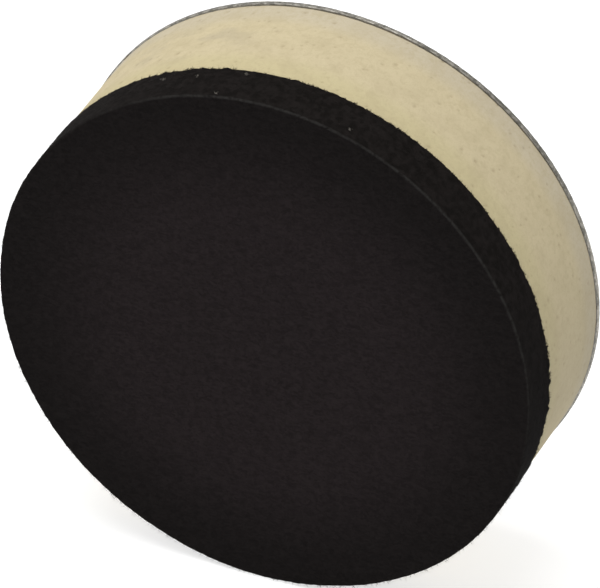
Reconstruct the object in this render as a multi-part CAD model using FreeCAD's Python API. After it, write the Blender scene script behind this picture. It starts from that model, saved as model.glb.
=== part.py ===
"""Felt-faced polishing wheel, 3 in across and 1 in thick, with a riveted steel hub and a 5/16-24 stud.

Units are millimetres. The wheel turns about the Y axis, and Z is up. The origin is on the wheel's axis,
on the hub's seat: the flat end of the hub's hex, which a tool's spindle closes on. The stud points
along +Y and the felt looks along -Y. Every depth below is a Y value, counted from the seat.
"""

import FreeCAD
import Part

import math
import os

INCH = 25.4
AXIS = FreeCAD.Vector(0, 1, 0)
CENTRE = FreeCAD.Vector(0, 0, 0)

# Wheel
wheel_radius = 1.5 * INCH
felt_thickness = 7.1
foam_thickness = 16.55
plate_thickness = 0.75
glue_thickness = 0.15

# Edges of the layers, as steps from the wheel's radius
felt_overhang = 0.15
felt_edge_radius = 0.35
foam_edge_inset = 0.1
glue_edge_inset = 0.3
plate_overhang = 0.1
plate_edge_radius = 0.15

# Hub
hex_across_flats = 9 / 16 * INCH
hex_height = 6.0
hex_chamfer_angle = 30
hex_chamfer_inset = 0.6
hex_corner_radius = 0.35
flange_radius = 16.5
flange_thickness = 2.4
flange_edge_radius = 0.7
spigot_radius = 6.35
seat_countersink = 0.45

# Stud, 5/16-24 UNF over its crests
stud_radius = 5 / 16 * INCH / 2
stud_reach = 0.5 * INCH
stud_end_chamfer = 0.8
stud_setback = 0.5
relief_radius = 3.15
relief_width = 1.2
socket_across_flats = 5 / 32 * INCH
socket_depth = 4.0

# Rivets, and the ring that they pull against
rivet_count = 4
rivet_circle_radius = 12.0
rivet_shank_radius = 2.0
rivet_head_radius = 3.2
rivet_head_height = 1.4
rivet_head_rim = 0.35
rivet_tail_radius = 3.0
rivet_tail_height = 1.2
ring_radius = 16.5
ring_thickness = 1.5
ring_edge_radius = 0.3
hole_clearance = 0.05

# Pocket in the back of the cushion, which clears the ring and the rivet tails
pocket_radius = 17.6
pocket_clearance = 1.4

# Depths, from the seat towards the felt
seat_y = 0.0
flange_back_y = seat_y - hex_height
plate_back_y = flange_back_y - flange_thickness
plate_front_y = plate_back_y - plate_thickness
foam_back_y = plate_front_y - glue_thickness
foam_front_y = foam_back_y - foam_thickness
felt_back_y = foam_front_y - glue_thickness
felt_front_y = felt_back_y - felt_thickness
ring_front_y = plate_front_y - ring_thickness
tail_front_y = ring_front_y - rivet_tail_height
pocket_floor_y = tail_front_y - pocket_clearance
stud_inner_y = ring_front_y + stud_setback
stud_tip_y = seat_y + stud_reach


def rounded_corner(before, corner, after, radius):
    """The start, middle and end of the arc that rounds a corner of an outline."""
    back = (before - corner).normalize()
    ahead = (after - corner).normalize()
    half_angle = back.getAngle(ahead) / 2
    reach = radius / math.tan(half_angle)
    inwards = (back + ahead).normalize()
    middle = corner + inwards * (radius / math.sin(half_angle) - radius)
    return corner + back * reach, middle, corner + ahead * reach


def turned(points, rounds=None, arcs=None):
    """A solid turned about the wheel's axis, from (radius, y) points in order round its outline.

    rounds maps the index of a corner to the radius that it is rounded to. arcs maps the index of a
    point to the (radius, y) middle of the arc that leads on from it.
    """
    rounds, arcs = rounds or {}, arcs or {}
    corners = [FreeCAD.Vector(*point) for point in points]
    edges, arrivals, departures = [], [], []
    for i, corner in enumerate(corners):
        arrival = departure = corner
        if i in rounds:
            after = corners[(i + 1) % len(corners)]
            arrival, middle, departure = rounded_corner(corners[i - 1], corner, after, rounds[i])
            edges.append(Part.Arc(arrival, middle, departure).toShape())
        arrivals.append(arrival)
        departures.append(departure)
    for i, departure in enumerate(departures):
        arrival = arrivals[(i + 1) % len(corners)]
        if i in arcs:
            edges.append(Part.Arc(departure, FreeCAD.Vector(*arcs[i]), arrival).toShape())
        else:
            edges.append(Part.LineSegment(departure, arrival).toShape())
    outline = Part.Wire(Part.__sortEdges__(edges))
    return Part.Face(outline).revolve(CENTRE, AXIS, 360)


def disc(radius, front_y, back_y, x=0.0, z=0.0):
    return Part.makeCylinder(radius, back_y - front_y, FreeCAD.Vector(x, front_y, z), AXIS)


def hexagon(across_flats, front_y, back_y):
    """A hexagonal bar on the wheel's axis, with two of its corners on the X axis."""
    corner_radius = across_flats / math.sqrt(3)
    corners = []
    for i in range(7):
        angle = math.radians(60 * i)
        x, z = corner_radius * math.cos(angle), corner_radius * math.sin(angle)
        corners.append(FreeCAD.Vector(x, front_y, z))
    return Part.Face(Part.makePolygon(corners)).extrude(AXIS * (back_y - front_y))


def rivet_places():
    """The (x, z) centres of the rivets, evenly spaced, the first midway between the X and Z axes."""
    for i in range(rivet_count):
        angle = 2 * math.pi * (i + 0.5) / rivet_count
        yield rivet_circle_radius * math.cos(angle), rivet_circle_radius * math.sin(angle)


def rivet_holes(front_y, back_y):
    radius = rivet_shank_radius + hole_clearance
    return [disc(radius, front_y, back_y, x, z) for x, z in rivet_places()]


def felt_facing():
    """The working face: a disc of dense felt, the front edge eased by the trimming knife."""
    radius = wheel_radius + felt_overhang
    points = [(0, felt_front_y), (radius, felt_front_y), (radius, felt_back_y), (0, felt_back_y)]
    return turned(points, rounds={1: felt_edge_radius})


def facing_glue():
    return disc(wheel_radius - glue_edge_inset, felt_back_y, foam_front_y)


def foam_core():
    """The cushion, with a round pocket in its back for the ring and the rivet tails."""
    block = disc(wheel_radius - foam_edge_inset, foam_front_y, foam_back_y)
    return block.cut(disc(pocket_radius, pocket_floor_y, foam_back_y))


def core_glue():
    """The glue film between the cushion and the plate, kept clear of the pocket."""
    film = disc(wheel_radius - glue_edge_inset, foam_back_y, plate_front_y)
    return film.cut(disc(pocket_radius + glue_edge_inset, foam_back_y, plate_front_y))


def backing_plate():
    """A sheet steel blank, pierced for the spigot and the rivets, with its outer corners eased."""
    bore = spigot_radius + hole_clearance
    radius = wheel_radius + plate_overhang
    points = [
        (bore, plate_front_y),
        (radius, plate_front_y),
        (radius, plate_back_y),
        (bore, plate_back_y),
    ]
    blank = turned(points, rounds={1: plate_edge_radius, 2: plate_edge_radius})
    return blank.cut(rivet_holes(plate_front_y, plate_back_y))


def clamp_ring():
    """The ring inside the pocket, which spreads the rivets' pull over the thin plate."""
    bore = spigot_radius + hole_clearance
    points = [
        (bore, ring_front_y),
        (ring_radius, ring_front_y),
        (ring_radius, plate_front_y),
        (bore, plate_front_y),
    ]
    return turned(points, rounds={1: ring_edge_radius}).cut(rivet_holes(ring_front_y, plate_front_y))


def chamfered_hex():
    """The hub's spanner hex, with its corners turned down to a cone at the seat."""
    corner_radius = hex_across_flats / math.sqrt(3)
    cone_top_radius = hex_across_flats / 2 - hex_chamfer_inset
    cone_height = (corner_radius - cone_top_radius) * math.tan(math.radians(hex_chamfer_angle))
    envelope = turned(
        [
            (0, flange_back_y),
            (corner_radius, flange_back_y),
            (corner_radius, seat_y - cone_height),
            (cone_top_radius, seat_y),
            (0, seat_y),
        ]
    )
    bar = hexagon(hex_across_flats, flange_back_y, seat_y)
    corner_edges = [edge for edge in bar.Edges if edge.BoundBox.YLength > hex_height / 2]
    return bar.makeFillet(hex_corner_radius, corner_edges).common(envelope)


def drive_hub():
    """Hex, flange and spigot in one turned piece, tapped right through for the stud."""
    flange_points = [
        (0, plate_back_y),
        (flange_radius, plate_back_y),
        (flange_radius, flange_back_y),
        (0, flange_back_y),
    ]
    flange = turned(flange_points, rounds={2: flange_edge_radius})
    spigot = disc(spigot_radius, ring_front_y, plate_back_y)
    tapped_hole = disc(stud_radius, ring_front_y, seat_y)
    countersink = turned(
        [
            (0, seat_y - seat_countersink),
            (stud_radius, seat_y - seat_countersink),
            (stud_radius + seat_countersink, seat_y),
            (0, seat_y),
        ]
    )
    body = chamfered_hex().fuse([flange, spigot]).removeSplitter()
    return body.cut([tapped_hole, countersink] + rivet_holes(plate_back_y, flange_back_y))


def drive_stud():
    """The stud, plain at its crests' radius, relieved at the seat, with a hex socket in its tip."""
    body = turned(
        [
            (0, stud_inner_y),
            (stud_radius - stud_end_chamfer, stud_inner_y),
            (stud_radius, stud_inner_y + stud_end_chamfer),
            (stud_radius, seat_y - seat_countersink),
            (relief_radius, seat_y - seat_countersink),
            (relief_radius, seat_y + relief_width),
            (stud_radius, seat_y + relief_width),
            (stud_radius, stud_tip_y - stud_end_chamfer),
            (stud_radius - stud_end_chamfer, stud_tip_y),
            (0, stud_tip_y),
        ]
    )
    return body.cut(hexagon(socket_across_flats, stud_tip_y - socket_depth, stud_tip_y))


def rivet():
    """One rivet, on the wheel's axis: a domed head behind the flange, a flat tail against the ring."""
    rim_y = flange_back_y + rivet_head_rim
    crown_y = flange_back_y + rivet_head_height
    rise = crown_y - rim_y
    ball_radius = (rivet_head_radius**2 + rise**2) / (2 * rise)
    half_angle = math.asin(rivet_head_radius / ball_radius) / 2
    drop = ball_radius * (1 - math.cos(half_angle))
    points = [
        (0, tail_front_y),
        (rivet_tail_radius, tail_front_y),
        (rivet_tail_radius, ring_front_y),
        (rivet_shank_radius, ring_front_y),
        (rivet_shank_radius, flange_back_y),
        (rivet_head_radius, flange_back_y),
        (rivet_head_radius, rim_y),
        (0, crown_y),
    ]
    return turned(points, arcs={6: (ball_radius * math.sin(half_angle), crown_y - drop)})


def hub_rivets():
    rivets = []
    for x, z in rivet_places():
        placed = rivet()
        placed.translate(FreeCAD.Vector(x, 0, z))
        rivets.append(placed)
    return Part.makeCompound(rivets)


PIECES = [
    felt_facing,
    facing_glue,
    foam_core,
    core_glue,
    backing_plate,
    clamp_ring,
    drive_hub,
    drive_stud,
    hub_rivets,
]

os.makedirs("parts", exist_ok=True)
for piece in PIECES:
    shape = piece()
    shape.exportStep(f"parts/{piece.__name__}.step")
    print(f"{piece.__name__}: {len(shape.Solids)} solid(s), {shape.Volume:.1f} mm3, valid {shape.isValid()}")
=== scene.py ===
"""Felt-faced polishing wheel: its looks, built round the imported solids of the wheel.

Units are metres, in the wheel's own frame: it spins about Y, its felt looks along -Y, Z is up, and
the origin is on the axis at the hub's seat. The wheel stands on its rim on a pale floor.
"""

import math

import bmesh
import bpy
import numpy as np
from mathutils import Matrix, Vector, noise


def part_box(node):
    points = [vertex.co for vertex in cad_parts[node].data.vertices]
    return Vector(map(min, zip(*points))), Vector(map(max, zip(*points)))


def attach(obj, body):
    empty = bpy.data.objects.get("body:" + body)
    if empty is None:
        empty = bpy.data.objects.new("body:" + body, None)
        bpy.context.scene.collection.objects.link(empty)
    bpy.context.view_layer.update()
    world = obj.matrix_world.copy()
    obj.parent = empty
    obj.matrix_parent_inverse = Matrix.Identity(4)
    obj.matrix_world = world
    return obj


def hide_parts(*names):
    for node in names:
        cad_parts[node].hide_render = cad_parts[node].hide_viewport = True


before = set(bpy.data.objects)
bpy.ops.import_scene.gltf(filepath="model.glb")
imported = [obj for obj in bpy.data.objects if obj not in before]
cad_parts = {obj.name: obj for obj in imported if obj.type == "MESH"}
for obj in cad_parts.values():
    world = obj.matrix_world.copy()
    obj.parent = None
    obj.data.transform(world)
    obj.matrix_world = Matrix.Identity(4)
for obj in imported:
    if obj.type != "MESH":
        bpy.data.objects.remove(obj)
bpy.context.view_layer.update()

MM = 0.001

# The wheel's layers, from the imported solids
felt_low, felt_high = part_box("felt_facing")
foam_low, foam_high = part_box("foam_core")
glue_low, glue_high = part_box("core_glue")
stud_low, stud_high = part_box("drive_stud")
felt_radius, felt_front, felt_back = felt_high.x, felt_low.y, felt_high.y
foam_radius, foam_front, foam_back = foam_high.x, foam_low.y, foam_high.y
plate_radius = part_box("backing_plate")[1].x

# Felt
felt_edge_radius = 0.35 * MM
felt_back_ease = 0.2 * MM
felt_cells_across = 190
felt_rim_rows = 24
felt_edge_rows = 6
felt_fray_reach = 1.0 * MM

# Loose fibres: each has three rings of three points, and a tip
fibre_points = 10
tuft_count, fibres_in_tuft, tuft_thickness = 420, 9, 0.055 * MM
edge_fibres, rim_fibres, face_fibres, nap_thickness = 1700, 2300, 2600, 0.022 * MM
lint_fibres, lint_thickness = 16, 0.065 * MM
lint_knots = ((115, 0.7), (107, 0.7), (100, 0.1), (97, 0.85), (72, 0.25))

# Foam
foam_cells_round = 1180
foam_cells_across = 80
pocket_radius = 17.6 * MM
pocket_depth = 3.95 * MM
pore_count = 330
pore_depth = 0.09 * MM
pore_reach = 4

# Glue bead
glue_columns = 900
glue_inset = 0.1 * MM
glue_squeeze = 0.3 * MM
bead_flat, bead_round = 0.12 * MM, 0.05 * MM

# Where things lie round the wheel: degrees from +X towards +Z, and how far each spreads
worst_fray = (-26, 36)
upper_fray = (114, 16)
# painted shade: where the felt's rim is painted darker, at its lower right
rim_shade_place = (-12, 22)
# painted shade: where the foam is painted darker, at its lower right
foam_shade_place = (-14, 26)
fingered_foam = (118, 16)
# paler nap, and a painted highlight: where the felt's front edge is palest, on its upper part
nap_highlight_place = (60, 38)

# Stud, 5/16-24: its crests' radius is the solid's
stud_radius = stud_high.x
thread_pitch = 25.4 * MM / 24
thread_depth = 0.57 * MM
stud_end_chamfer = 0.8 * MM
relief_radius = 3.15 * MM
relief_front, relief_back = -0.45 * MM, 1.2 * MM
socket_across_flats = 25.4 * MM * 5 / 32
socket_depth = 4 * MM
stud_columns = 96

# One turn of the thread, as shares of its pitch from the middle of the crest
thread_stations = (0.0, 0.07, 0.22, 0.375, 0.5, 0.625, 0.78, 0.93)
crest_end, root_start = 0.07, 0.375

# Colours, as linear red, green and blue
FELT_FACE_DARK = (0.009, 0.0077, 0.0075)
FELT_FACE_LIGHT = (0.0163, 0.0128, 0.0132)
FELT_RIM_DARK = (0.0068, 0.0058, 0.0052)
FELT_RIM_LIGHT = (0.0125, 0.0105, 0.0098)
# Paler nap, and a painted highlight, for the felt's front edge
FELT_NAP_HIGHLIGHT = (0.027, 0.0257, 0.0243)
LINT = (0.13, 0.12, 0.105)
FOAM_CREAM = (0.522, 0.448, 0.291)
FOAM_YELLOW = (0.495, 0.432, 0.258)
FOAM_PALE = (0.485, 0.427, 0.314)
FOAM_SHADE = (0.4, 0.335, 0.205)
# Painted shade for the hollows of the foam's pores
FOAM_PORE_SHADE = (0.26, 0.2, 0.115)
FOAM_SMUDGE = (0.3, 0.26, 0.2)
# Painted shade for the foam's lower right
FOAM_PAINTED_SHADE = (0.3, 0.265, 0.19)
GLUE_DARK, GLUE_LIGHT = (0.05, 0.04, 0.025), (0.15, 0.11, 0.06)
ZINC_DARK, ZINC_LIGHT = (0.4, 0.41, 0.42), (0.55, 0.56, 0.57)
SHEARED_DARK, SHEARED_LIGHT = (0.18, 0.172, 0.15), (0.44, 0.42, 0.375)
TURNED_DARK, TURNED_LIGHT = (0.34, 0.34, 0.33), (0.45, 0.45, 0.43)
RIVET_DARK, RIVET_LIGHT = (0.42, 0.42, 0.42), (0.58, 0.58, 0.57)
OXIDE_BLACK, CREST_BRIGHT = (0.06, 0.059, 0.058), (0.4, 0.4, 0.39)
FLOOR_GREY = (0.5, 0.5, 0.5, 1)

# Stage
FLOOR_GLOW = 0.68
SURROUND_DIM = (0.3, 0.3, 0.3)
SURROUND_BRIGHT = (0.82, 0.82, 0.82)
SOFTBOX_WATTS = 9.0
SOFTBOX_PLACE = (-0.12, -0.15, 1.1)
floor_reach = 3.0
floor_gap = 0.05 * MM
softbox_size = 0.9

# Camera
camera_azimuth = math.radians(23.73)
camera_elevation = math.radians(34.99)
camera_distance = 1.143
camera_lens = 519.5
camera_sensor = 36
camera_near, camera_far = 0.05, 20
aim_right, aim_up = 5.09 * MM, 6.75 * MM


# Making meshes


def add_piece(name, points, faces, finish, replaces=()):
    """A smooth-shaded mesh that rides on the wheel, with one finish."""
    mesh = bpy.data.meshes.new(name)
    mesh.from_pydata([tuple(p) for p in points], [], faces)
    mesh.validate()
    mesh.polygons.foreach_set("use_smooth", [True] * len(mesh.polygons))
    mesh.materials.append(finish)
    piece = bpy.data.objects.new(name, mesh)
    bpy.context.scene.collection.objects.link(piece)
    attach(piece, "root")
    if replaces:
        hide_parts(*replaces)
    return piece


def set_reading(piece, name, values):
    """Stores a number at each point of a mesh, for its finish to read."""
    reading = piece.data.attributes.new(name, "FLOAT", "POINT")
    reading.data.foreach_set("value", np.asarray(values, dtype=np.float32))


def round_band(first, rows, columns):
    """Quads between successive rows of points, each row a closed ring of the same count."""
    faces = []
    for row in range(rows - 1):
        near = first + row * columns
        far = near + columns
        for k in range(columns):
            following = (k + 1) % columns
            faces.append((near + k, near + following, far + following, far + k))
    return faces


def fan(ring_start, columns, centre, flip):
    """Triangles that close a ring of points on to one point."""
    faces = []
    for k in range(columns):
        following = (k + 1) % columns
        ends = (ring_start + k, ring_start + following)
        faces.append((centre, *(reversed(ends) if flip else ends)))
    return faces


def ring(radius, y, angles):
    """Points round the wheel's axis. radius and y are numbers, or one value for each angle."""
    return np.stack([radius * np.cos(angles), y + 0 * angles, radius * np.sin(angles)], axis=1)


def outward(angles):
    """Directions straight out from the axis."""
    return np.stack([np.cos(angles), np.zeros(len(angles)), np.sin(angles)], axis=1)


def around(angles):
    """Directions along the rim."""
    return np.stack([-np.sin(angles), np.zeros(len(angles)), np.cos(angles)], axis=1)


BACKWARD = np.array([0.0, 1.0, 0.0])


def relief(points, size, octaves=3, seed=0.0):
    """Smooth random heights from about -1 to 1 at points, with lumps of about the given size."""
    shift = Vector((seed, 3 * seed, -2 * seed))
    heights = [noise.fractal(Vector(p) / size + shift, 1.0, 2.0, octaves) for p in points]
    return np.array(heights)


def near_angle(points, degrees, width):
    """1 at an angle round the wheel, falling off over a width in degrees."""
    away = np.arctan2(points[:, 2], points[:, 0]) - math.radians(degrees)
    away = np.abs((away + math.pi) % (2 * math.pi) - math.pi)
    return np.exp(-((away / math.radians(width)) ** 2))


# Finishes


class Number:
    """A number that varies over a surface. Sums on it add Math nodes to its finish."""

    def __init__(self, finish, socket):
        self.finish = finish
        self.socket = socket

    def math(self, operation, first, second):
        node = self.finish.node("ShaderNodeMath", {"operation": operation}, {0: first, 1: second})
        return Number(self.finish, node.outputs[0])

    def __add__(self, other):
        return self.math("ADD", self, other)

    def __sub__(self, other):
        return self.math("SUBTRACT", self, other)

    def __rsub__(self, other):
        return self.math("SUBTRACT", other, self)

    def __mul__(self, other):
        return self.math("MULTIPLY", self, other)

    def __pow__(self, other):
        return self.math("POWER", self, other)

    __radd__ = __add__
    __rmul__ = __mul__


class Shading:
    """A tree of shader nodes, and the measures of place that its colours vary with."""

    def __init__(self, owner, coordinate="Object"):
        owner.use_nodes = True
        self.tree = owner.node_tree
        self.place = self.node("ShaderNodeTexCoord").outputs[coordinate]
        parts = self.node("ShaderNodeSeparateXYZ", sockets={0: self.place})
        self.x, self.y, self.z = (Number(self, parts.outputs[i]) for i in range(3))

    def node(self, kind, settings=None, sockets=None):
        """Any node: its type, then its settings, then its sockets' values or links."""
        made = self.tree.nodes.new(kind)
        for name, value in (settings or {}).items():
            setattr(made, name, value)
        for name, value in (sockets or {}).items():
            self.join(value, made.inputs[name])
        return made

    def join(self, value, socket):
        """Sets a socket to a value, or links it to what works the value out."""
        source = value.socket if isinstance(value, Number) else value
        if isinstance(source, bpy.types.NodeSocket):
            self.tree.links.new(source, socket)
        else:
            socket.default_value = source

    def blend(self, share, first, second, mode="MIX"):
        """A colour between two colours."""
        shades = [(*shade, 1) if isinstance(shade, tuple) else shade for shade in (first, second)]
        settings = {"data_type": "RGBA", "blend_type": mode}
        node = self.node("ShaderNodeMix", settings, {0: share, 6: shades[0], 7: shades[1]})
        return node.outputs[2]

    def grey(self, share, low, high):
        """A grey to multiply a colour by, between two brightnesses."""
        return self.blend(share, (low,) * 3, (high,) * 3)


class Finish(Shading):
    """One material of the wheel."""

    def __init__(self, name):
        self.material = bpy.data.materials.new(name)
        super().__init__(self.material)
        self.shader = self.tree.nodes["Principled BSDF"]
        self.radius = (self.x * self.x + self.z * self.z) ** 0.5

    def constant(self, **values):
        """Sets the shader's own sockets, named with underscores for spaces."""
        for name, value in values.items():
            self.shader.inputs[name.replace("_", " ")].default_value = value

    def feed(self, name, value):
        """Gives one of the shader's sockets something that varies over the surface."""
        self.join(value, self.shader.inputs[name])

    def reading(self, name):
        """A number stored at the mesh's points."""
        node = self.node("ShaderNodeAttribute", {"attribute_name": name})
        return Number(self, node.outputs["Fac"])

    def stretched(self, x, y, z):
        """Place, scaled along each axis: less than 1 draws a grain out."""
        node = self.node(
            "ShaderNodeVectorMath", {"operation": "MULTIPLY"}, {0: self.place, 1: (x, y, z)}
        )
        return node.outputs[0]

    def unrolled(self, along_share):
        """The rim laid out flat: distance round it, distance along the axis, and radius."""
        angle = self.node("ShaderNodeMath", {"operation": "ARCTAN2"}, {0: self.z, 1: self.x})
        along_rim = Number(self, angle.outputs[0]) * plate_radius
        laid = self.node(
            "ShaderNodeCombineXYZ", sockets={0: along_rim, 1: self.y * along_share, 2: self.radius}
        )
        return laid.outputs[0]

    def grain(self, size, detail=2.0, roughness=0.5, distortion=0.0, place=None):
        """Soft random variation from 0 to 1, in patches of about the given size."""
        node = self.node(
            "ShaderNodeTexNoise",
            {"noise_dimensions": "3D"},
            {
                "Vector": place or self.place,
                "Scale": 1 / size,
                "Detail": detail,
                "Roughness": roughness,
                "Distortion": distortion,
            },
        )
        return Number(self, node.outputs["Fac"])

    def cells(self, size):
        """Distance to the middle of the nearest random cell, as a share of the cells' size."""
        node = self.node(
            "ShaderNodeTexVoronoi",
            {"feature": "F1"},
            {"Vector": self.place, "Scale": 1 / size, "Randomness": 1.0},
        )
        return Number(self, node.outputs["Distance"])

    def rise(self, value, low, high):
        """0 where value is low, 1 where it is high, with a smooth step between."""
        node = self.node(
            "ShaderNodeMapRange",
            {"interpolation_type": "SMOOTHSTEP", "clamp": True},
            {"Value": value, "From Min": low, "From Max": high},
        )
        return Number(self, node.outputs["Result"])

    def bump(self, height, distance, strength):
        """Fine relief in the finish, on top of the mesh's own shape."""
        node = self.node(
            "ShaderNodeBump", sockets={"Height": height, "Distance": distance, "Strength": strength}
        )
        self.feed("Normal", node.outputs["Normal"])


def felt_finish():
    """Dense black wool felt, its face greyer at the middle.

    The cut rim is darker, with painted shade at its lower right. The front edge has paler nap and a
    painted highlight.
    """
    felt = Finish("Black felt")
    felt.constant(Roughness=1.0, Specular_IOR_Level=0.04)
    fleck = felt.grain(0.9 * MM, 4, 0.65, 0.8)
    streak = felt.grain(0.5 * MM, 3, 0.6, 1.2, felt.stretched(0.6, 1, 1))
    hair = felt.grain(0.2 * MM, 3, 0.7, 1.5)
    # Paler towards the middle of the face
    brighter_share = felt.rise(felt.radius, 0.98 * felt_radius, 0.48 * felt_radius)
    face = felt.blend(brighter_share, FELT_FACE_DARK, FELT_FACE_LIGHT)
    # The felt's own mottled tone, with painted shade in the bump's hollows and painted highlight on
    # its raised fibres
    mottle_and_shade = felt.rise(streak * 0.65 + fleck * 0.35, 0.36, 0.64)
    face = felt.blend(1.0, face, felt.grey(mottle_and_shade, 0.74, 1.26), "MULTIPLY")
    tuft = felt.grain(1.1 * MM, 4, 0.6, 0.4)
    rim = felt.blend(felt.rise(tuft, 0.36, 0.66), FELT_RIM_DARK, FELT_RIM_LIGHT)
    # Painted shade: the rim's colour halved at its lower right
    halved = felt.blend(1.0, rim, felt.grey(1.0, 1.0, 0.5), "MULTIPLY")
    rim = felt.blend(felt.reading("painted_rim_shade"), rim, halved)
    base = felt.blend(felt.reading("rim"), face, rim)
    # Paler nap along the front edge, with a painted highlight on its upper part
    base = felt.blend(felt.reading("nap") * felt.rise(fleck, 0.28, 0.56), base, FELT_NAP_HIGHLIGHT)
    felt.feed("Base Color", base)
    felt.bump(hair * 0.25 + streak * 0.35 + fleck * 0.4, 0.35 * MM, 1.0)
    return felt.material


def fibre_finish(name, shade):
    """Loose wool fibres, each a little lighter or darker than the next."""
    fibre = Finish(name)
    fibre.constant(Roughness=1.0, Specular_IOR_Level=0.1)
    paler = tuple(1.8 * part for part in shade)
    fibre.feed("Base Color", fibre.blend(fibre.reading("tone"), shade, paler))
    return fibre.material


def foam_finish():
    """Firm cream foam with a cut skin: fine cells, open pores, a few grey smudges, and painted
    shade at the lower right.
    """
    foam = Finish("Cream foam")
    foam.constant(Roughness=0.95, Specular_IOR_Level=0.15)
    depth = foam.rise(foam.y, foam_front, foam_back)
    base = foam.blend(foam.rise(depth, 0.0, 0.25), FOAM_YELLOW, FOAM_CREAM)
    base = foam.blend(foam.rise(depth, 0.78, 1.0), base, FOAM_PALE)
    cloud = foam.grain(3.5 * MM, 4, 0.6)
    fleck = foam.grain(0.9 * MM, 4, 0.7, 0.5)
    cell = foam.cells(0.3 * MM)
    base = foam.blend(foam.rise(cloud, 0.4, 0.7) * 0.3, base, FOAM_SHADE)
    base = foam.blend(foam.rise(fleck, 0.42, 0.72) * 0.42, base, FOAM_SHADE)
    # Painted shade in the hollows of the fine cells
    base = foam.blend(foam.rise(cell, 0.55, 0.1) * 0.16, base, FOAM_SHADE)
    # Painted shade in the pores' hollows
    base = foam.blend(foam.reading("pore") * 0.45, base, FOAM_PORE_SHADE)
    base = foam.blend(foam.reading("smudge") * 0.4, base, FOAM_SMUDGE)
    # Painted shade at the foam's lower right
    base = foam.blend(foam.reading("painted_foam_shade") * 0.5, base, FOAM_PAINTED_SHADE)
    foam.feed("Base Color", base)
    foam.bump(cell * 0.4 + fleck * 0.6, 0.08 * MM, 0.7)
    return foam.material


def glue_finish():
    """Brown contact glue, glossy in places."""
    glue = Finish("Dried contact glue")
    glue.constant(Specular_IOR_Level=0.4)
    skin = glue.grain(0.6 * MM, 3)
    glue.feed("Base Color", glue.blend(skin, GLUE_DARK, GLUE_LIGHT))
    glue.feed("Roughness", 0.45 + skin * 0.3)
    glue.bump(skin, 0.05 * MM, 0.6)
    return glue.material


def plate_finish():
    """Zinc-coated sheet steel: a rolled grain, soft clouding, and a dull sheared edge."""
    plate = Finish("Zinc-coated sheet")
    plate.constant(Metallic=1.0)
    rolled = plate.grain(0.5 * MM, 3, 0.6, place=plate.stretched(0.06, 1, 1))
    cloud = plate.grain(9 * MM, 4, 0.6)
    edge = plate.rise(plate.radius, plate_radius - 0.25 * MM, plate_radius - 0.1 * MM)
    sheared = plate.grain(0.7 * MM, 3, 0.7, place=plate.unrolled(2.0))
    face = plate.blend(plate.rise(rolled * 0.5 + cloud * 0.5, 0.35, 0.65), ZINC_DARK, ZINC_LIGHT)
    rim = plate.blend(plate.rise(sheared, 0.38, 0.64), SHEARED_DARK, SHEARED_LIGHT)
    plate.feed("Base Color", plate.blend(edge, face, rim))
    plate.feed("Roughness", 0.32 + rolled * 0.2 + edge * 0.12)
    plate.bump(rolled * 0.4 + cloud * 0.3, 0.04 * MM, 0.35)
    return plate.material


def steel_finish(name, dark, light, ring_pitch, rough):
    """Zinc-plated turned steel, with the rings that the lathe tool leaves."""
    steel = Finish(name)
    steel.constant(Metallic=1.0)
    cloud = steel.grain(2.5 * MM, 4, 0.6)
    rings = steel.grain(ring_pitch, 2, 0.6, place=steel.node(
        "ShaderNodeCombineXYZ", sockets={0: steel.radius, 1: steel.y, 2: 0.0}
    ).outputs[0])
    steel.feed("Base Color", steel.blend(steel.rise(cloud, 0.3, 0.7), dark, light))
    steel.feed("Roughness", rough + cloud * 0.15 + rings * 0.12)
    steel.bump(rings * 0.6 + cloud * 0.2, 0.02 * MM, 0.5)
    return steel.material


def stud_finish():
    """Black oxide, rubbed through to bright steel along the thread's crests."""
    stud = Finish("Black oxide")
    stud.constant(Metallic=1.0)
    cloud = stud.grain(0.7 * MM, 4, 0.65)
    brighter_share = stud.rise(stud.reading("crest") + cloud * 0.5, 1.15, 1.35)
    stud.feed("Base Color", stud.blend(brighter_share, OXIDE_BLACK, CREST_BRIGHT))
    stud.feed("Roughness", 0.4 + cloud * 0.2 - brighter_share * 0.15)
    stud.bump(cloud, 0.02 * MM, 0.4)
    return stud.material


# Felt pad


def disc_grid(cells):
    """Points of a square grid drawn out to a unit disc, and the order of those round its edge."""
    steps = np.linspace(-1, 1, cells + 1)
    a, b = np.meshgrid(steps, steps, indexing="ij")
    wide = np.abs(a) >= np.abs(b)
    with np.errstate(divide="ignore", invalid="ignore"):
        turn = np.where(wide, b / a, a / b) * (math.pi / 4)
    turn = np.nan_to_num(turn)
    x = np.where(wide, a * np.cos(turn), b * np.sin(turn))
    z = np.where(wide, a * np.sin(turn), b * np.cos(turn))
    n = cells
    index = np.arange((n + 1) ** 2).reshape(n + 1, n + 1)
    edge = np.concatenate([index[n, :n], index[:0:-1, n], index[0, :0:-1], index[:n, 0]])
    quads = np.stack([index[:-1, :-1], index[1:, :-1], index[1:, 1:], index[:-1, 1:]], axis=-1)
    return x.ravel(), z.ravel(), edge, quads.reshape(-1, 4)


def raggedness(angles):
    """How frayed the felt's back edge is round the wheel, from 0 to 1: most at the lower right."""
    round_wheel = ring(1.0, 0.0, angles)
    worst = near_angle(round_wheel, *worst_fray)
    return 0.18 + 0.8 * worst + 0.25 * near_angle(round_wheel, *upper_fray)


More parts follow.
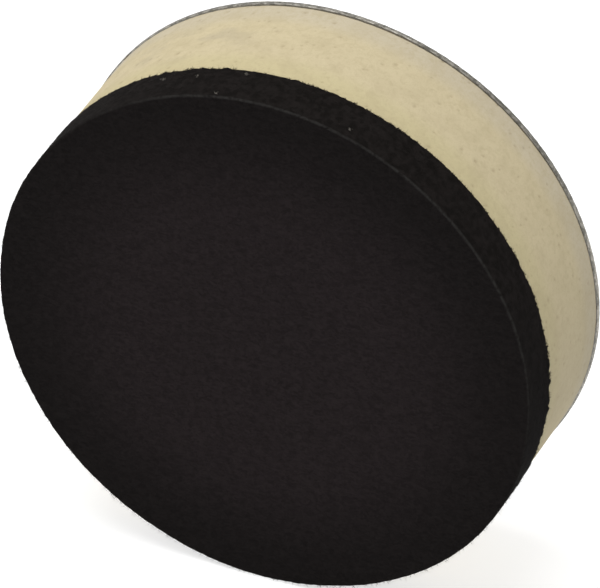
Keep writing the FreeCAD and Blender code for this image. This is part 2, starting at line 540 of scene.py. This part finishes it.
def felt_rim_profile():
    """Each row of the rim, from the face to the back.

    A row is its radius and y, its normal outwards and along the axis, and how far it has turned
    from the face to the rim.
    """
    rows = []
    for step in range(1, felt_edge_rows + 1):
        turn = math.radians(90) * step / felt_edge_rows
        out, forward = math.sin(turn), math.cos(turn)
        rows.append((
            felt_radius - felt_edge_radius * (1 - out),
            felt_front + felt_edge_radius * (1 - forward),
            out, -forward, step / felt_edge_rows,
        ))
    start, end = felt_front + felt_edge_radius, felt_back - felt_back_ease
    for step in range(1, felt_rim_rows + 1):
        rows.append((felt_radius, start + (end - start) * step / felt_rim_rows, 1.0, 0.0, 1.0))
    for turn in (math.radians(45), math.radians(90)):
        rows.append((
            felt_radius - felt_back_ease * (1 - math.cos(turn)),
            end + felt_back_ease * math.sin(turn),
            math.cos(turn), math.sin(turn), 1.0,
        ))
    return rows


def make_felt_pad(finish):
    """The felt disc: a lumpy face and rim, and a frayed back edge."""
    x, z, edge, quads = disc_grid(felt_cells_across)
    flat_radius = felt_radius - felt_edge_radius
    face = np.stack([x * flat_radius, np.full(len(x), felt_front), z * flat_radius], axis=1)
    angles = np.arctan2(z[edge], x[edge])
    columns = len(edge)
    profile = felt_rim_profile()
    rows = [ring(radius, y, angles) for radius, y, *_ in profile]
    normals = [ring(out, along, angles) for _, _, out, along, _ in profile]
    points = np.concatenate([face] + rows)
    normals = np.concatenate([np.tile((0.0, -1.0, 0.0), (len(face), 1))] + normals)
    rim_shares = [np.full(columns, share) for *_, share in profile]
    rimward = np.concatenate([np.zeros(len(face))] + rim_shares)

    lumps = relief(points, 0.9 * MM, 3, 1.0) * 0.05 * MM
    lumps += relief(points, 12 * MM, 2, 5.0) * 0.06 * MM
    points += normals * lumps[:, None]

    # the back edge frays outwards and backwards, in clumps about a millimetre apart
    clumps = relief(ring(felt_radius, 0.0, angles), 1.2 * MM, 2, 9.0) * raggedness(angles)
    first = len(points) - 4 * columns
    for row, share in enumerate((0.15, 0.5, 1.0, 1.0)):
        part = slice(first + row * columns, first + (row + 1) * columns)
        points[part, 1] += clumps * felt_fray_reach * share
        points[part] += outward(angles) * (np.maximum(clumps, 0) * 0.25 * MM * share)[:, None]

    start = len(face)
    total = len(points)
    faces = [tuple(q) for q in quads]
    for k in range(columns):
        following = (k + 1) % columns
        faces.append((edge[k], start + k, start + following, edge[following]))
    faces += [tuple(reversed(f)) for f in round_band(start, len(profile), columns)]
    points = np.concatenate([points, [(0.0, felt_back, 0.0)]])
    rimward = np.append(rimward, 1.0)
    faces += fan(total - columns, columns, total, False)
    faces = [tuple(int(i) for i in f) for f in faces]

    pad = add_piece("felt_pad", points, faces, finish, ["felt_facing"])
    set_reading(pad, "rim", rimward)
    # Painted shade on the rim, at its lower right
    set_reading(pad, "painted_rim_shade", near_angle(points, *rim_shade_place))
    from_edge = np.hypot(
        np.hypot(points[:, 0], points[:, 2]) - felt_radius + 0.08 * MM,
        points[:, 1] - felt_front - 0.08 * MM,
    )
    # Nap all round the front edge, and a painted highlight on its upper part, where it faces the
    # light
    edge_place, edge_spread = nap_highlight_place
    away = np.abs(np.arctan2(points[:, 2], points[:, 0]) - math.radians(edge_place))
    nap_and_highlight_share = np.clip(2.2 - away / math.radians(edge_spread), 0.15, 1)
    set_reading(pad, "nap", np.clip(1.3 - from_edge / (0.21 * MM), 0, 1) * nap_and_highlight_share)
    return pad


# Loose fibres


def unit(vectors):
    """The same directions, each of length 1."""
    return vectors / np.linalg.norm(vectors, axis=1, keepdims=True)


def make_fibres(name, finish, rng, roots, leans, lengths, thickness, curl):
    """Curved three-sided fibres that taper to a point, one from each root."""
    count = len(roots)
    leans = unit(leans)
    bends = rng.normal(0, curl, (count, 3))
    side = unit(np.cross(leans, rng.normal(0, 1, (count, 3))))
    other = np.cross(leans, side)
    rings = []
    for share, width in ((0.0, 1.0), (0.35, 0.95), (0.7, 0.7)):
        middle = roots + lengths[:, None] * (leans * share + bends * share**2)
        for turn in (0.0, 2 * math.pi / 3, 4 * math.pi / 3):
            offset = side * math.cos(turn) + other * math.sin(turn)
            rings.append(middle + offset * thickness * width / 2)
    rings.append(roots + lengths[:, None] * (leans + bends))
    points = np.stack(rings, axis=1).reshape(-1, 3)
    pattern = [(0, 2, 1)]
    for base in (0, 3):
        for k in range(3):
            following = (k + 1) % 3
            pattern.append((base + k, base + following, base + 3 + following, base + 3 + k))
    pattern += [(6, 7, 9), (7, 8, 9), (8, 6, 9)]
    faces = [
        tuple(fibre_points * fibre + corner for corner in face)
        for fibre in range(count) for face in pattern
    ]
    piece = add_piece(name, points, faces, finish)
    set_reading(piece, "tone", np.repeat(rng.random(count), fibre_points))
    return piece


def make_back_tufts(finish):
    """Clumps of fibres that the cutter dragged from the felt's back edge over the foam."""
    rng = np.random.default_rng(5)
    clumps = rng.uniform(-math.pi, math.pi, tuft_count)
    sizes = rng.uniform(0.25, 1.0, len(clumps)) ** 1.5 * raggedness(clumps)
    stands = np.repeat(clumps, fibres_in_tuft)
    size = np.repeat(sizes, fibres_in_tuft)
    angles = stands + rng.normal(0, 0.14 * MM / felt_radius, len(stands))
    roots = outward(angles) * (felt_radius - rng.uniform(0.02, 0.16, len(angles)) * MM)[:, None]
    roots += BACKWARD * (felt_back - rng.uniform(0.05, 0.2, len(angles)) * MM)[:, None]
    leans = BACKWARD + outward(angles) * rng.uniform(-0.1, 0.5, len(angles))[:, None]
    leans += around(angles) * rng.normal(0, 0.5, len(angles))[:, None]
    lengths = (0.22 + 0.5 * size) * rng.uniform(0.6, 1.1, len(angles)) * MM
    return make_fibres(
        "felt_tufts", finish, rng, roots, leans, lengths, tuft_thickness, 0.35
    )


def make_surface_nap(finish):
    """Fine fibres raised from the felt: along its front edge, over its rim, and on its face."""
    rng = np.random.default_rng(8)
    roots, leans = [], []
    edge = rng.uniform(-math.pi, math.pi, edge_fibres)
    turn = rng.uniform(math.radians(15), math.radians(75), len(edge))
    reach = felt_radius - felt_edge_radius * (1 - np.sin(turn))
    depth = felt_front + felt_edge_radius * (1 - np.cos(turn))
    roots.append(outward(edge) * reach[:, None] + BACKWARD * depth[:, None])
    leans.append(
        outward(edge) * np.sin(turn)[:, None] - BACKWARD * np.cos(turn)[:, None]
        + around(edge) * rng.normal(0, 1.2, len(edge))[:, None]
    )
    rim = rng.uniform(-math.pi, math.pi, rim_fibres)
    depth = rng.uniform(felt_front + 0.5 * MM, felt_back, len(rim))
    roots.append(outward(rim) * felt_radius + BACKWARD * depth[:, None])
    leans.append(
        outward(rim) * 0.25 + around(rim) * rng.normal(0, 1, len(rim))[:, None]
        + BACKWARD * rng.normal(0, 0.7, len(rim))[:, None]
    )
    face = rng.uniform(-math.pi, math.pi, face_fibres)
    reach = felt_radius * np.sqrt(rng.random(len(face))) * 0.98
    roots.append(outward(face) * reach[:, None] + BACKWARD * felt_front)
    leans.append(
        -0.2 * BACKWARD + outward(face) * rng.normal(0, 1, len(face))[:, None]
        + around(face) * rng.normal(0, 1, len(face))[:, None]
    )
    roots, leans = np.concatenate(roots), np.concatenate(leans)
    lengths = rng.uniform(0.25, 0.75, len(roots)) * MM
    return make_fibres(
        "felt_nap", finish, rng, roots, leans, lengths, nap_thickness, 0.25
    )


def make_lint(finish):
    """A few pale knots of lint caught on the felt's rim."""
    rng = np.random.default_rng(3)
    roots, leans = [], []
    for degrees, depth in lint_knots:
        angle = np.radians(degrees) + rng.normal(0, 0.12 * MM / felt_radius, lint_fibres)
        y = felt_front + depth * (felt_back - felt_front) + rng.normal(0, 0.12, lint_fibres) * MM
        lift = felt_radius + rng.uniform(0.0, 0.1, lint_fibres) * MM
        roots.append(outward(angle) * lift[:, None] + BACKWARD * y[:, None])
        leans.append(rng.normal(0, 1, (lint_fibres, 3)))
    roots, leans = np.concatenate(roots), np.concatenate(leans)
    lengths = rng.uniform(0.1, 0.2, len(roots)) * MM
    return make_fibres("lint", finish, rng, roots, leans, lengths, lint_thickness, 0.7)


# Foam cushion


def make_foam_cushion(finish):
    """The cushion, with a pored and slightly lumpy rim, and the pocket sealed in its back."""
    rng = np.random.default_rng(11)
    angles = np.arange(foam_cells_round) * 2 * math.pi / foam_cells_round
    depths = np.linspace(foam_front, foam_back, foam_cells_across + 1)
    radii = np.full((len(depths), len(angles)), foam_radius)
    grid = np.concatenate([ring(foam_radius, y, angles) for y in depths])
    shape = radii.shape
    radii += relief(grid, 1.3 * MM, 3, 2.0).reshape(shape) * 0.03 * MM
    radii += relief(grid, 14 * MM, 2, 7.0).reshape(shape) * 0.05 * MM
    pore = np.zeros(shape)
    round_step = 2 * math.pi * foam_radius / foam_cells_round
    along_step = (foam_back - foam_front) / foam_cells_across
    for _ in range(pore_count):
        across = rng.uniform(0.5, foam_cells_across - 0.5)
        along = rng.uniform(0, foam_cells_round)
        size = rng.uniform(0.12, 0.24) * MM * (1.5 if rng.random() < 0.1 else 1.0)
        first_row = max(0, int(across) - pore_reach)
        last_row = min(foam_cells_across, int(across) + pore_reach)
        rows = np.arange(first_row, last_row + 1)
        cols = np.arange(int(along) - pore_reach, int(along) + pore_reach + 1)
        gap = np.hypot(
            (rows[:, None] - across) * along_step, (cols[None, :] - along) * round_step
        )
        hollow = np.exp(-((gap / size) ** 2))
        patch = np.ix_(rows, cols % foam_cells_round)
        pore[patch] = np.maximum(pore[patch], hollow)
    radii -= pore * pore_depth
    smudge = smudges(angles, depths)

    rows = [ring(radii[i], y, angles) for i, y in enumerate(depths)]
    floor_y = foam_back - pocket_depth
    inner = [
        ring(pocket_radius, foam_back, angles),
        ring(pocket_radius, floor_y, angles),
    ]
    points = np.concatenate(rows + inner + [[(0.0, floor_y, 0.0)], [(0.0, foam_front, 0.0)]])
    count = len(depths) + len(inner)
    faces = [tuple(reversed(f)) for f in round_band(0, count, foam_cells_round)]
    last_ring = (count - 1) * foam_cells_round
    faces += fan(last_ring, foam_cells_round, count * foam_cells_round, False)
    faces += fan(0, foam_cells_round, count * foam_cells_round + 1, True)
    cushion = add_piece("foam_cushion", points, faces, finish, ["foam_core"])
    spare = np.zeros(len(points) - pore.size)
    set_reading(cushion, "pore", np.concatenate([pore.ravel(), spare]))
    set_reading(cushion, "smudge", np.concatenate([smudge.ravel(), spare]))
    # Painted shade on the foam, at its lower right
    set_reading(cushion, "painted_foam_shade", near_angle(points, *foam_shade_place))
    return cushion


def smudges(angles, depths):
    """Faint finger marks on the foam's upper left: soft streaks that run round the rim."""
    grid = np.concatenate([ring(foam_radius, y * 2.2, angles) for y in depths])
    patches = relief(grid, 5 * MM, 3, 21.0).reshape(len(depths), len(angles))
    near = near_angle(ring(1.0, 0.0, angles), *fingered_foam)
    mid = (np.asarray(depths) - foam_front) / (foam_back - foam_front)
    band = np.exp(-(((mid - 0.5) / 0.25) ** 2))
    return np.clip(patches * 1.6, 0, 1) * near[None, :] * band[:, None]


# Glue bead


def make_glue_bead(finish):
    """The glue film on the plate, squeezed out here and there along the foam's edge."""
    angles = np.arange(glue_columns) * 2 * math.pi / glue_columns
    squeeze = np.clip(relief(ring(foam_radius, 0.0, angles), 2.2 * MM, 3, 31.0), 0, 1)
    edge = foam_radius - glue_inset + squeeze * glue_squeeze
    inner = pocket_radius + 0.3 * MM
    middle = (glue_low.y + glue_high.y) / 2
    half = (glue_high.y - glue_low.y) / 2
    rows = [ring(inner, middle - half, angles), ring(edge - bead_flat, middle - half, angles)]
    for turn in (-45, 0, 45):
        out, along = math.cos(math.radians(turn)), math.sin(math.radians(turn))
        rows.append(ring(edge - bead_round * (1 - out), middle + half * along, angles))
    rows += [ring(edge - bead_flat, middle + half, angles), ring(inner, middle + half, angles)]
    points = np.concatenate(rows + rows[:1])
    faces = [tuple(reversed(f)) for f in round_band(0, len(rows) + 1, len(angles))]
    last = len(rows) * len(angles)
    faces = [tuple(i - last if i >= last else i for i in face) for face in faces]
    return add_piece("glue_bead", points[:last], faces, finish, ["core_glue"])


# Stud


def thread_radius(y, turn):
    """The stud's radius at a depth and a turn about +Y, with its end chamfers and its relief."""
    share = (y / thread_pitch - turn / (2 * math.pi)) % 1.0
    from_crest = np.minimum(share, 1 - share)
    flank = np.clip((from_crest - crest_end) / (root_start - crest_end), 0, 1)
    radius = stud_radius - thread_depth * flank
    tip = stud_high.y - y
    root = y - stud_low.y
    for end in (tip, root):
        radius = np.minimum(radius, stud_radius - stud_end_chamfer + end)
    past_relief = np.maximum(relief_front - y, y - relief_back)
    return np.minimum(radius, relief_radius + np.maximum(past_relief, 0))


def stud_ring(radius, y, turns):
    """Points round the stud, where a turn of 0 is +Z."""
    return np.stack([radius * np.sin(turns), y + 0 * turns, radius * np.cos(turns)], axis=1)


def make_stud(finish):
    """The stud with its right-hand thread, and a hex socket in its tip."""
    turns = np.linspace(0, 2 * math.pi, stud_columns + 1)
    first = math.floor(stud_low.y / thread_pitch) - 1
    last = math.ceil(stud_high.y / thread_pitch) + 1
    rows = []
    for pitch in range(first, last):
        for station in thread_stations:
            y = thread_pitch * (pitch + station + turns / (2 * math.pi))
            y = np.clip(y, stud_low.y, stud_high.y)
            rows.append(stud_ring(thread_radius(y, turns), y, turns))

    tip, floor_y = stud_high.y, stud_high.y - socket_depth
    corner = (np.degrees(turns) + 1e-9) % 60 - 30
    hexed = socket_across_flats / 2 / np.cos(np.radians(corner))
    flared = np.minimum(hexed + 0.15 * MM, socket_across_flats / 2 + 0.42 * MM)
    rows += [
        stud_ring(flared, tip, turns),
        stud_ring(hexed, tip - 0.15 * MM, turns),
        stud_ring(hexed, floor_y, turns),
        stud_ring(0 * turns, floor_y - 1.0 * MM, turns),
    ]
    rows.insert(0, stud_ring(0 * turns, stud_low.y, turns))
    points = np.concatenate(rows)
    wide = stud_columns + 1
    faces = []
    for row in range(len(rows) - 1):
        for k in range(stud_columns):
            near = row * wide + k
            faces.append((near, near + 1, near + wide + 1, near + wide))

    stud = add_piece("threaded_stud", points, faces, finish, ["drive_stud"])
    shape = bmesh.new()
    shape.from_mesh(stud.data)
    bmesh.ops.remove_doubles(shape, verts=shape.verts, dist=0.0005 * MM)
    bmesh.ops.dissolve_degenerate(shape, edges=shape.edges, dist=0.0002 * MM)
    bmesh.ops.recalc_face_normals(shape, faces=shape.faces)
    shape.to_mesh(stud.data)
    shape.free()
    stud.data.set_sharp_from_angle(angle=math.radians(35))
    reach = [math.hypot(v.co.x, v.co.z) for v in stud.data.vertices]
    set_reading(stud, "crest", 1 - (stud_radius - np.array(reach)) / thread_depth)
    return stud


# Stage


def set_stage():
    """A glowing pale floor, a surround brighter above and on one side, and a big soft light."""
    floor_mesh = bpy.data.meshes.new("floor")
    z = -felt_radius - floor_gap
    sides = ((-1, -1), (1, -1), (1, 1), (-1, 1))
    corners = [(x * floor_reach, y * floor_reach, z) for x, y in sides]
    floor_mesh.from_pydata(corners, [], [(0, 1, 2, 3)])
    paint = Finish("Pale floor")
    paint.constant(Base_Color=FLOOR_GREY, Roughness=1.0, Specular_IOR_Level=0.0)
    paint.constant(Emission_Color=(1, 1, 1, 1), Emission_Strength=FLOOR_GLOW)
    floor_mesh.materials.append(paint.material)
    floor = bpy.data.objects.new("floor", floor_mesh)
    bpy.context.scene.collection.objects.link(floor)

    world = bpy.data.worlds.new("White surround")
    walls = Shading(world, "Generated")
    share = 0.5 + walls.z * 0.3 - walls.x * 0.35
    behind = walls.tree.nodes["Background"]
    walls.join(walls.blend(share, SURROUND_DIM, SURROUND_BRIGHT), behind.inputs["Color"])
    behind.inputs["Strength"].default_value = 1.0
    bpy.context.scene.world = world

    softbox = bpy.data.lights.new("Overhead softbox", "AREA")
    softbox.shape = "DISK"
    softbox.size = softbox_size
    softbox.energy = SOFTBOX_WATTS
    lamp = bpy.data.objects.new("Overhead softbox", softbox)
    lamp.location = SOFTBOX_PLACE
    lamp.rotation_euler = (-Vector(SOFTBOX_PLACE)).to_track_quat("-Z", "Y").to_euler()
    bpy.context.scene.collection.objects.link(lamp)
    bpy.context.scene.view_settings.view_transform = "Standard"


def set_camera():
    """A long level lens that looks down at the felt from its right, aimed beside its centre."""
    a, e = camera_azimuth, camera_elevation
    right = Vector((math.cos(a), math.sin(a), 0))
    ahead = Vector((-math.sin(a) * math.cos(e), math.cos(a) * math.cos(e), -math.sin(e)))
    up = right.cross(ahead)
    aim = Vector((0, felt_front, 0)) + right * aim_right + up * aim_up
    lens = bpy.data.cameras.new("Camera")
    lens.lens = camera_lens
    lens.sensor_width = camera_sensor
    lens.clip_start, lens.clip_end = camera_near, camera_far
    camera = bpy.data.objects.new("Camera", lens)
    camera.matrix_world = Matrix.Translation(aim - ahead * camera_distance) @ Matrix(
        (right, up, -ahead)
    ).transposed().to_4x4()
    bpy.context.scene.collection.objects.link(camera)
    bpy.context.scene.camera = camera


def dress(node, finish):
    """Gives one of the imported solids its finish."""
    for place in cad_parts[node].material_slots:
        place.material = finish


set_camera()
set_stage()
glue = glue_finish()
zinc = plate_finish()
wool = fibre_finish("Loose black fibres", FELT_FACE_DARK)
make_felt_pad(felt_finish())
make_back_tufts(wool)
make_surface_nap(wool)
make_lint(fibre_finish("Pale lint", LINT))
make_foam_cushion(foam_finish())
make_glue_bead(glue)
make_stud(stud_finish())
dress("facing_glue", glue)
dress("backing_plate", zinc)
dress("clamp_ring", zinc)
dress("drive_hub", steel_finish("Turned steel", TURNED_DARK, TURNED_LIGHT, 0.25 * MM, 0.28))
dress("hub_rivets", steel_finish("Rivet steel", RIVET_DARK, RIVET_LIGHT, 0.6 * MM, 0.25))
